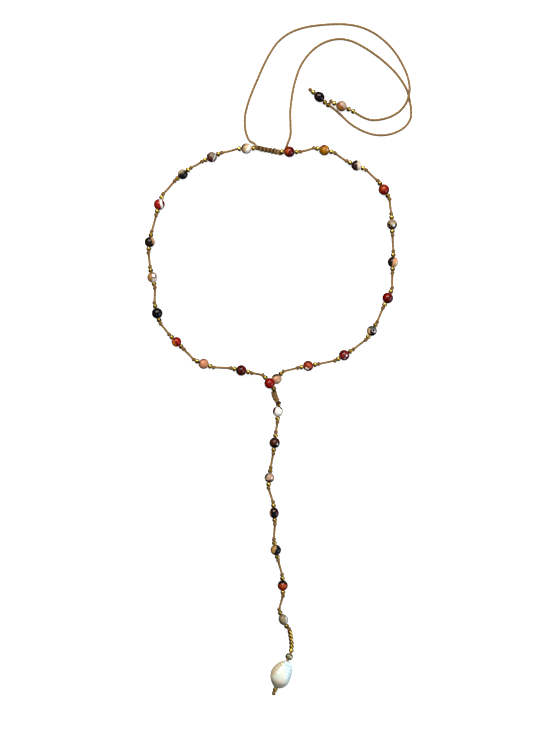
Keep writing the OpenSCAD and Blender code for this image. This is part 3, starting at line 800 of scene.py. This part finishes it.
def string_line(stones, settings):
    """The cord's way through a string of stones, and the places of its knots. A knot sits between
    the way out of its brass bead and the way to the next knot."""
    out = 1.62 * MM       # from the end of a stone past its brass bead
    straight = 0.9 * MM   # from a knot to where the cord starts to sag
    necks = [
        [bead.middle + side * (bead.along / 2 + out) * bead.way for side in (-1, 1)] for _, bead in stones
    ]
    line, knots = [], []
    for i, (name, bead) in enumerate(stones):
        ends = list(necks[i])
        for k, (side, bare) in enumerate(((-1, name in BARE_BEFORE), (1, name in BARE_AFTER))):
            if bare:
                continue
            other = i + side
            toward = side * bead.way
            if 0 <= other < len(stones):
                toward = toward + (necks[other][1 - k] - necks[i][k]).normalized()
            ends[k] = necks[i][k] + 0.4 * settings.knot_size * toward.normalized()
            knots.append((ends[k], toward.normalized()))
        if line:
            start, span = line[-1], ends[0] - line[-1]
            away = straight / span.length
            for share in (away, 0.3, 0.5, 0.7, 1 - away):
                line.append(start + share * span - Vector((0, 0, settings.sag * math.sin(math.pi * share))))
        line += [ends[0], necks[i][0], bead.middle, necks[i][1], ends[1]]
    tidy = [line[0]]
    for point in line[1:]:
        if (point - tidy[-1]).length > 0.1 * MM:
            tidy.append(point)
    return tidy, knots


def cord_with_knots(name, line, knots, settings):
    """One string of cord, with an overhand knot at each place."""
    pieces = [swept(name, smoothed(line, STEP), settings.diameter / 2, 10, 0.03, settings.twist)]
    for i, (middle, way) in enumerate(knots):
        pieces.append(overhand_knot(f"{name}_knot", middle, way, settings.knot_size, i * 1.9))
    return merged(pieces, name)


def lanes():
    """The lines of the cords through the sliding knot and through the wrap."""
    sleeve, wrap = (longer(metres(line), 0.25 * MM) for line in (SLEEVE, WRAP))
    apart = 0.5 * MM
    return {
        "left": lane(sleeve, beside=-apart)[::-1],
        "right": lane(sleeve, beside=apart)[::-1],
        "upper": lane(wrap, above=apart),
        "lower": lane(wrap, above=-apart)[:4][::-1],
    }


def dress_cord(piece, *nodes):
    """Dresses a piece in waxed cord, whose finish is made for the first one."""
    finish = bpy.data.materials.get("waxed_cotton") or waxed_cord()
    return dress(piece, nodes, finish)


class NECKLACE_OT_camera(bpy.types.Operator):
    """Looks straight down on the necklace"""
    bl_idname = "necklace.camera"
    bl_label = "Camera"

    def execute(self, context):
        stage = context.scene.necklace_stage
        deselect()
        x, y, focus = CAMERA_OVER
        bpy.ops.object.camera_add(location=(x, y, stage.camera_height + focus), rotation=(0, 0, 0))
        camera = context.object
        camera.data.sensor_width = 36
        camera.data.lens = camera.data.sensor_width / 2 * stage.camera_height / (stage.view_height / 2)
        camera.data.clip_start, camera.data.clip_end = 0.01, 10
        context.scene.camera = camera
        return {"FINISHED"}


class NECKLACE_OT_tails(bpy.types.Operator):
    """Lays the two loose tails of the cord, each with its end knot"""
    bl_idname = "necklace.tails"
    bl_label = "Loose tails"

    def execute(self, context):
        cord = context.scene.necklace_cord
        ways = lanes()
        for name, start, route, end in (
            ("outer_tail", ways["right"][-1], OUTER_ROUTE, OUTER_END),
            ("inner_tail", ways["left"][0], INNER_ROUTE, INNER_END),
        ):
            route = [start, *metres(route), *metres(end)]
            line = smoothed(route, STEP)
            piece = swept(f"{name}_waxed_cord", line, cord.diameter / 2, 10, 0.03, cord.twist)
            dress_cord(piece, f"{name}_cord")
            way = (route[-1] - route[-2]).normalized()
            knot = overhand_knot(f"{name}_end_knot", route[-1], way, cord.knot_size, 0.4)
            dress_cord(knot)
            length_of(line)
        return {"FINISHED"}


class NECKLACE_OT_strings(bpy.types.Operator):
    """Knots the cord of both halves of the loop and of the drop"""
    bl_idname = "necklace.strings"
    bl_label = "Knotted cord"

    def execute(self, context):
        cord = context.scene.necklace_cord
        ways = lanes()
        left = stones_of("stone_", [f"{i:02d}" for i in range(1, 12)], ways["left"][-1])
        right = stones_of("stone_", range(12, 23), metres(RIGHT_LEAD_IN)[-1])
        drop = stones_of("drop_stone_", range(1, 8), ways["upper"][-1])

        line, knots = string_line(left, cord)
        piece = cord_with_knots("left_waxed_cord", ways["left"] + line + ways["upper"], knots, cord)
        dress_cord(piece, "left_cord")

        line, knots = string_line(right, cord)
        line = ways["lower"] + metres(RIGHT_LEAD_IN) + line + metres(RIGHT_LEAD_OUT) + ways["right"]
        piece = cord_with_knots("right_waxed_cord", line, knots, cord)
        dress_cord(piece, "right_cord")

        line, knots = string_line(drop, cord)
        row = drop_row()
        way = pearl_way()
        foot = row[-1].middle
        end = foot + 1.66 * MM * way
        top = PEARL_AT + PEARL_SECTIONS[0][0] * MM * way
        knots += [(SMALL_KNOT, (row[0].middle - SMALL_KNOT).normalized()), (end, way)]
        line = [ways["upper"][-1], *line, SMALL_KNOT, *(bead.middle for bead in row[:-1])]
        line += [measured("faceted_bead")[0].middle, top, PEARL_AT, foot, end + 0.8 * MM * way]
        piece = cord_with_knots("drop_waxed_cord", line, knots, cord)
        dress_cord(piece, "drop_cord")
        return {"FINISHED"}


def between(values, t):
    """A value on the smooth curve through four, between the second and the third."""
    a, b, c, d = values
    return b + t / 2 * (c - a + t * (2 * a - 5 * b + 4 * c - d + t * (3 * (b - c) + d - a)))


def pearl_way():
    heading, rise = math.radians(PEARL_HEADING), math.radians(PEARL_RISE)
    return Vector((math.cos(rise) * math.cos(heading), math.cos(rise) * math.sin(heading), math.sin(rise)))


def drop_row():
    """The brass beads from the last stone of the drop down: the row of six, then the one at its foot."""
    last = measured("drop_stone_7")[0].middle.y - 4 * MM
    beads = [bead for bead in measured("brass_drop_lower") if bead.middle.y < last]
    return sorted(beads, key=lambda bead: -bead.middle.y)


class NECKLACE_OT_sliding_knot(bpy.types.Operator):
    """Ties the sliding knot round both cords"""
    bl_idname = "necklace.sliding_knot"
    bl_label = "Sliding knot"

    def execute(self, context):
        cord = context.scene.necklace_cord
        middle = smoothed(metres(SLEEVE), COIL_STEP)
        total = len(middle) - 1
        line, outward = [], []
        for i, point in enumerate(middle):
            share = i / total
            turn = 0.6 - 2 * math.pi * SLEEVE_TURNS * share
            side = UP.cross(run(middle, i)).normalized()
            bulge = 0.4 * math.exp(-((share - 0.88) / 0.07) ** 2)   # of the last turn
            out = (0.5 + 0.15 * min(1, 6 * share) + bulge) * MM
            outward.append(math.sin(turn) * side + math.cos(turn) * UP)
            line.append(point + out * math.sin(turn) * side + min(out, 0.55 * MM) * math.cos(turn) * UP)
        # The strand gets painted shade all over and on its inner side. The two cords inside get painted shade
        # on their upper side, in the gaps between its turns.
        pieces = [swept("strand", line, 0.6 * MM, 12, 0.04, cord.twist, outward, 3)]
        for beside in (-0.45, 0.45):
            line = lane(middle, beside * MM)
            pieces.append(swept("filler", line, 0.58 * MM, 10, 0, cord.twist, [-UP] * len(line), 2))
        dress_cord(merged(pieces, "tied_sleeve"), "sliding_knot")
        return {"FINISHED"}


class NECKLACE_OT_wrap(bpy.types.Operator):
    """Winds the wrap at the junction and melts its end"""
    bl_idname = "necklace.wrap"
    bl_label = "Junction wrap"

    def execute(self, context):
        cord = context.scene.necklace_cord
        middle = smoothed(metres(WRAP), COIL_STEP)
        total = len(middle) - 1
        line, outward = [], []
        for i, point in enumerate(middle):
            angle = 2 * math.pi * WRAP_TURNS * i / total
            way = run(middle, i)
            side = UP.cross(way).normalized()
            wide, high = (0.8 + 0.12 * math.sin(math.pi * i / total)) * MM, 1.02 * MM
            outward.append(math.cos(angle) * side + math.sin(angle) * way.cross(side))
            line.append(point + wide * math.cos(angle) * side + high * math.sin(angle) * way.cross(side))
        # The coil gets painted shade on the side of each turn that faces the cords inside.
        coil = swept("whipping", line, 0.4 * MM, 10, 0.06, cord.twist, outward, 2)
        dress_cord(coil, "junction_wrap")
        deselect()
        bpy.ops.mesh.primitive_uv_sphere_add(
            segments=20, ring_count=12, radius=0.88 * MM, location=MELTED_END
        )
        end = context.object
        end.name = "melted_end"
        begin_edit()
        bpy.ops.transform.vertex_random(offset=0.08 * MM, seed=3, normal=0.4)
        bpy.ops.transform.resize(value=(1.08, 0.78, 0.8), center_override=MELTED_END)
        bpy.ops.object.mode_set(mode="OBJECT")
        bpy.ops.object.shade_smooth()
        bpy.ops.object.transform_apply(location=True, rotation=True, scale=True)
        finish = Finish("melted_cord", Specular_IOR_Level=0.2)
        soot = finish.noise(finish.here(size=MM), 1.6, 3)
        tint = finish.mix(soot.rising(-0.2, 0.3), (*cord.melt, 1), (*[value * 3 for value in cord.melt], 1))
        finish.use(Base_Color=tint, Roughness=soot * 0.3 + 0.35, Normal=finish.bump(soot, 0.3, 0.0001))
        dress(end, [], finish.material)
        return {"FINISHED"}


class NECKLACE_OT_stones(bpy.types.Operator):
    """Sets every agate stone, each with its own colours"""
    bl_idname = "necklace.stones"
    bl_label = "Agate stones"

    def execute(self, context):
        hole = context.scene.necklace_beads.stone_hole
        master = drilled_bead("stone_master", 40, 26, hole)
        for i, (node, row) in enumerate(LOOKS.items()):
            look, bead, name = Look(*row), measured(node)[0], f"agate_{node}"
            piece = placed(master, name, bead, hole, i * 0.7)
            dress(piece, [node], agate(name, look, bead.middle, bead.across / 2))
        bpy.data.objects.remove(master)
        return {"FINISHED"}


class NECKLACE_OT_brass(bpy.types.Operator):
    """Threads the small brass beads beside the stones and above the pearl"""
    bl_idname = "necklace.brass"
    bl_label = "Brass beads"

    def execute(self, context):
        hole = context.scene.necklace_beads.brass_hole
        finish = brass()
        profile = [
            (0.94, hole), (1, hole + 0.04), (0.98, 0.69), (0.91, 0.8), (0.78, 0.9), (0.56, 0.975), (0.28, 1)
        ]
        profile = [(-z, r) for z, r in profile] + profile[::-1]
        rows = [(z, r, r, 0, 0) for z, r in profile]
        master = drawn_ring("brass_master", rows, 24)
        bpy.ops.object.shade_smooth_by_angle(angle=math.radians(50))
        for node in BRASS:
            beads = [placed(master, "bead", bead, 0, i) for i, bead in enumerate(measured(node))]
            dress(merged(beads, f"{node}_beads"), [node], finish)
        bpy.data.objects.remove(master)
        return {"FINISHED"}


class NECKLACE_OT_faceted_bead(bpy.types.Operator):
    """Cuts the faceted metal bead above the pearl"""
    bl_idname = "necklace.faceted_bead"
    bl_label = "Faceted bead"

    def execute(self, context):
        bead = measured("faceted_bead")[0]
        wide, half, hole, sides = bead.across / 2, bead.along / 2, 0.6 * MM, 8
        turn = math.pi / sides
        cuts = [(-0.98, 0.5, 0), (-0.76, 0.78, 0), (-0.05, 1, 0), (0.5, 0.93, turn), (0.98, 0.5, 0)]
        rows = [(up * half, out * wide, out * wide, 0, spin) for up, out, spin in cuts]
        rows = [(-half, hole, hole, 0, 0), *rows, (half, hole, hole, 0, 0)]
        piece = drawn_ring("faceted_plated_bead", rows, sides)
        piece.data.transform(Matrix.Translation(bead.middle) @ turned(settled(bead.way, pearl_way()), 0.1))
        dress(piece, ["faceted_bead"], plated_metal(bead.middle, wide))
        return {"FINISHED"}


class NECKLACE_OT_pearl(bpy.types.Operator):
    """Shapes the baroque pearl section by section"""
    bl_idname = "necklace.pearl"
    bl_label = "Pearl"

    def execute(self, context):
        hole = 0.6
        sections = [(-5.6, hole, hole, hole), (-6.23, hole, hole, hole)]
        for i in range(len(PEARL_SECTIONS) - 1):
            around = [PEARL_SECTIONS[min(max(i + k, 0), len(PEARL_SECTIONS) - 1)] for k in (-1, 0, 1, 2)]
            for t in (0, 0.25, 0.5, 0.75):
                sections.append(tuple(between(values, t) for values in zip(*around)))
        sections += [(5.78, hole, hole, hole), (5.2, hole, hole, hole)]
        rows = [
            (along * MM, (right + left) / 2 * MM, high * MM, (right - left) / 2 * MM, 0)
            for along, right, left, high in sections
        ]
        piece = drawn_ring("baroque_pearl", rows, 64)
        piece.data.transform(Matrix.Translation(PEARL_AT) @ turned(pearl_way()))
        bpy.ops.object.shade_smooth()
        dress(piece, ["pearl"], nacre())
        return {"FINISHED"}


class NECKLACE_OT_stage(bpy.types.Operator):
    """Lays the pale table and hangs the studio lights"""
    bl_idname = "necklace.stage"
    bl_label = "Table and lights"

    def execute(self, context):
        stage = context.scene.necklace_stage
        deselect()
        bpy.ops.mesh.primitive_plane_add(size=40, location=(0, 0, -0.02 * MM))
        table = context.object
        table.name = "table"
        finish = Finish(
            "table", Specular_IOR_Level=0.2, Emission_Color=(1, 1, 1, 1), Emission_Strength=stage.glow
        )
        grain = finish.noise(finish.here(), 60, 2)
        darker = [value * 0.99 for value in stage.floor_colour]
        tint = finish.mix(grain.rising(-0.3, 0.3), (*darker, 1), (*stage.floor_colour, 1))
        finish.use(Base_Color=tint, Roughness=grain * 0.1 + 0.7)
        table.data.materials.append(finish.material)
        table.visible_glossy = table.visible_diffuse = False
        for name, place, size, power, tone in (
            ("window", (0.55, -0.2, 0.28), (0.5, 0.5), stage.window_power, (0.84, 0.92, 1.0)),
            ("overhead", (-0.05, 0.5, 0.65), (0.8, 0.4), stage.lamp_power, (1.0, 0.98, 0.93)),
        ):
            bpy.ops.object.light_add(type="AREA", location=place)
            light = context.object
            light.name = name
            light.data.shape = "RECTANGLE"
            light.data.size, light.data.size_y = size
            light.data.energy = power
            light.data.color = tone
            aim = Vector((0, 0.02, 0)) - Vector(place)
            light.rotation_euler = aim.to_track_quat("-Z", "Y").to_euler()
        world = bpy.data.worlds.new("studio")
        world.use_nodes = True
        tree = world.node_tree
        way = tree.nodes.new("ShaderNodeTexCoord")
        split = tree.nodes.new("ShaderNodeSeparateXYZ")
        ramp = tree.nodes.new("ShaderNodeMapRange")
        ramp.interpolation_type = "SMOOTHSTEP"
        ramp.inputs["From Min"].default_value = -0.1
        tree.links.new(way.outputs["Generated"], split.inputs[0])
        tree.links.new(split.outputs["Z"], ramp.inputs["Value"])
        path = tree.nodes.new("ShaderNodeLightPath")
        for socket in ("Color", "Strength"):
            shown = tree.nodes.new("ShaderNodeMath")
            shown.operation = "MAXIMUM"
            shown.inputs[0].default_value = stage.sky
            if socket == "Color":
                tree.links.new(ramp.outputs[0], shown.inputs[0])
            tree.links.new(path.outputs["Is Camera Ray"], shown.inputs[1])
            tree.links.new(shown.outputs[0], tree.nodes["Background"].inputs[socket])
        context.scene.world = world
        context.scene.view_settings.view_transform = "Standard"
        return {"FINISHED"}


class NECKLACE_PT_panel(bpy.types.Panel):
    """The necklace's pieces and sizes"""
    bl_label = "Pearl drop necklace"
    bl_idname = "NECKLACE_PT_panel"
    bl_space_type = "VIEW_3D"
    bl_region_type = "UI"
    bl_category = "Necklace"

    def draw(self, context):
        for settings in ("necklace_cord", "necklace_beads", "necklace_stage"):
            group = getattr(context.scene, settings)
            box = self.layout.box()
            for name in group.bl_rna.properties.keys():
                if name not in ("rna_type", "name"):
                    box.prop(group, name)
        for operator in OPERATORS:
            self.layout.operator(operator.bl_idname)


OPERATORS = [
    NECKLACE_OT_camera, NECKLACE_OT_tails, NECKLACE_OT_strings, NECKLACE_OT_sliding_knot, NECKLACE_OT_wrap,
    NECKLACE_OT_stones, NECKLACE_OT_brass, NECKLACE_OT_faceted_bead, NECKLACE_OT_pearl, NECKLACE_OT_stage,
]
GROUPS = {"necklace_cord": NecklaceCord, "necklace_beads": NecklaceBeads, "necklace_stage": NecklaceStage}


def register():
    for group in GROUPS.values():
        bpy.utils.register_class(group)
    for name, group in GROUPS.items():
        setattr(bpy.types.Scene, name, PointerProperty(type=group))
    for operator in OPERATORS:
        bpy.utils.register_class(operator)
    bpy.utils.register_class(NECKLACE_PT_panel)


def unregister():
    bpy.utils.unregister_class(NECKLACE_PT_panel)
    for operator in reversed(OPERATORS):
        bpy.utils.unregister_class(operator)
    for name in GROUPS:
        delattr(bpy.types.Scene, name)
    for group in GROUPS.values():
        bpy.utils.unregister_class(group)


def main():
    register()
    bpy.ops.necklace.camera()
    bpy.ops.necklace.tails()
    bpy.ops.necklace.strings()
    bpy.ops.necklace.sliding_knot()
    bpy.ops.necklace.wrap()
    bpy.ops.necklace.stones()
    bpy.ops.necklace.brass()
    bpy.ops.necklace.faceted_bead()
    bpy.ops.necklace.pearl()
    bpy.ops.necklace.stage()


if __name__ == "__main__":
    main()
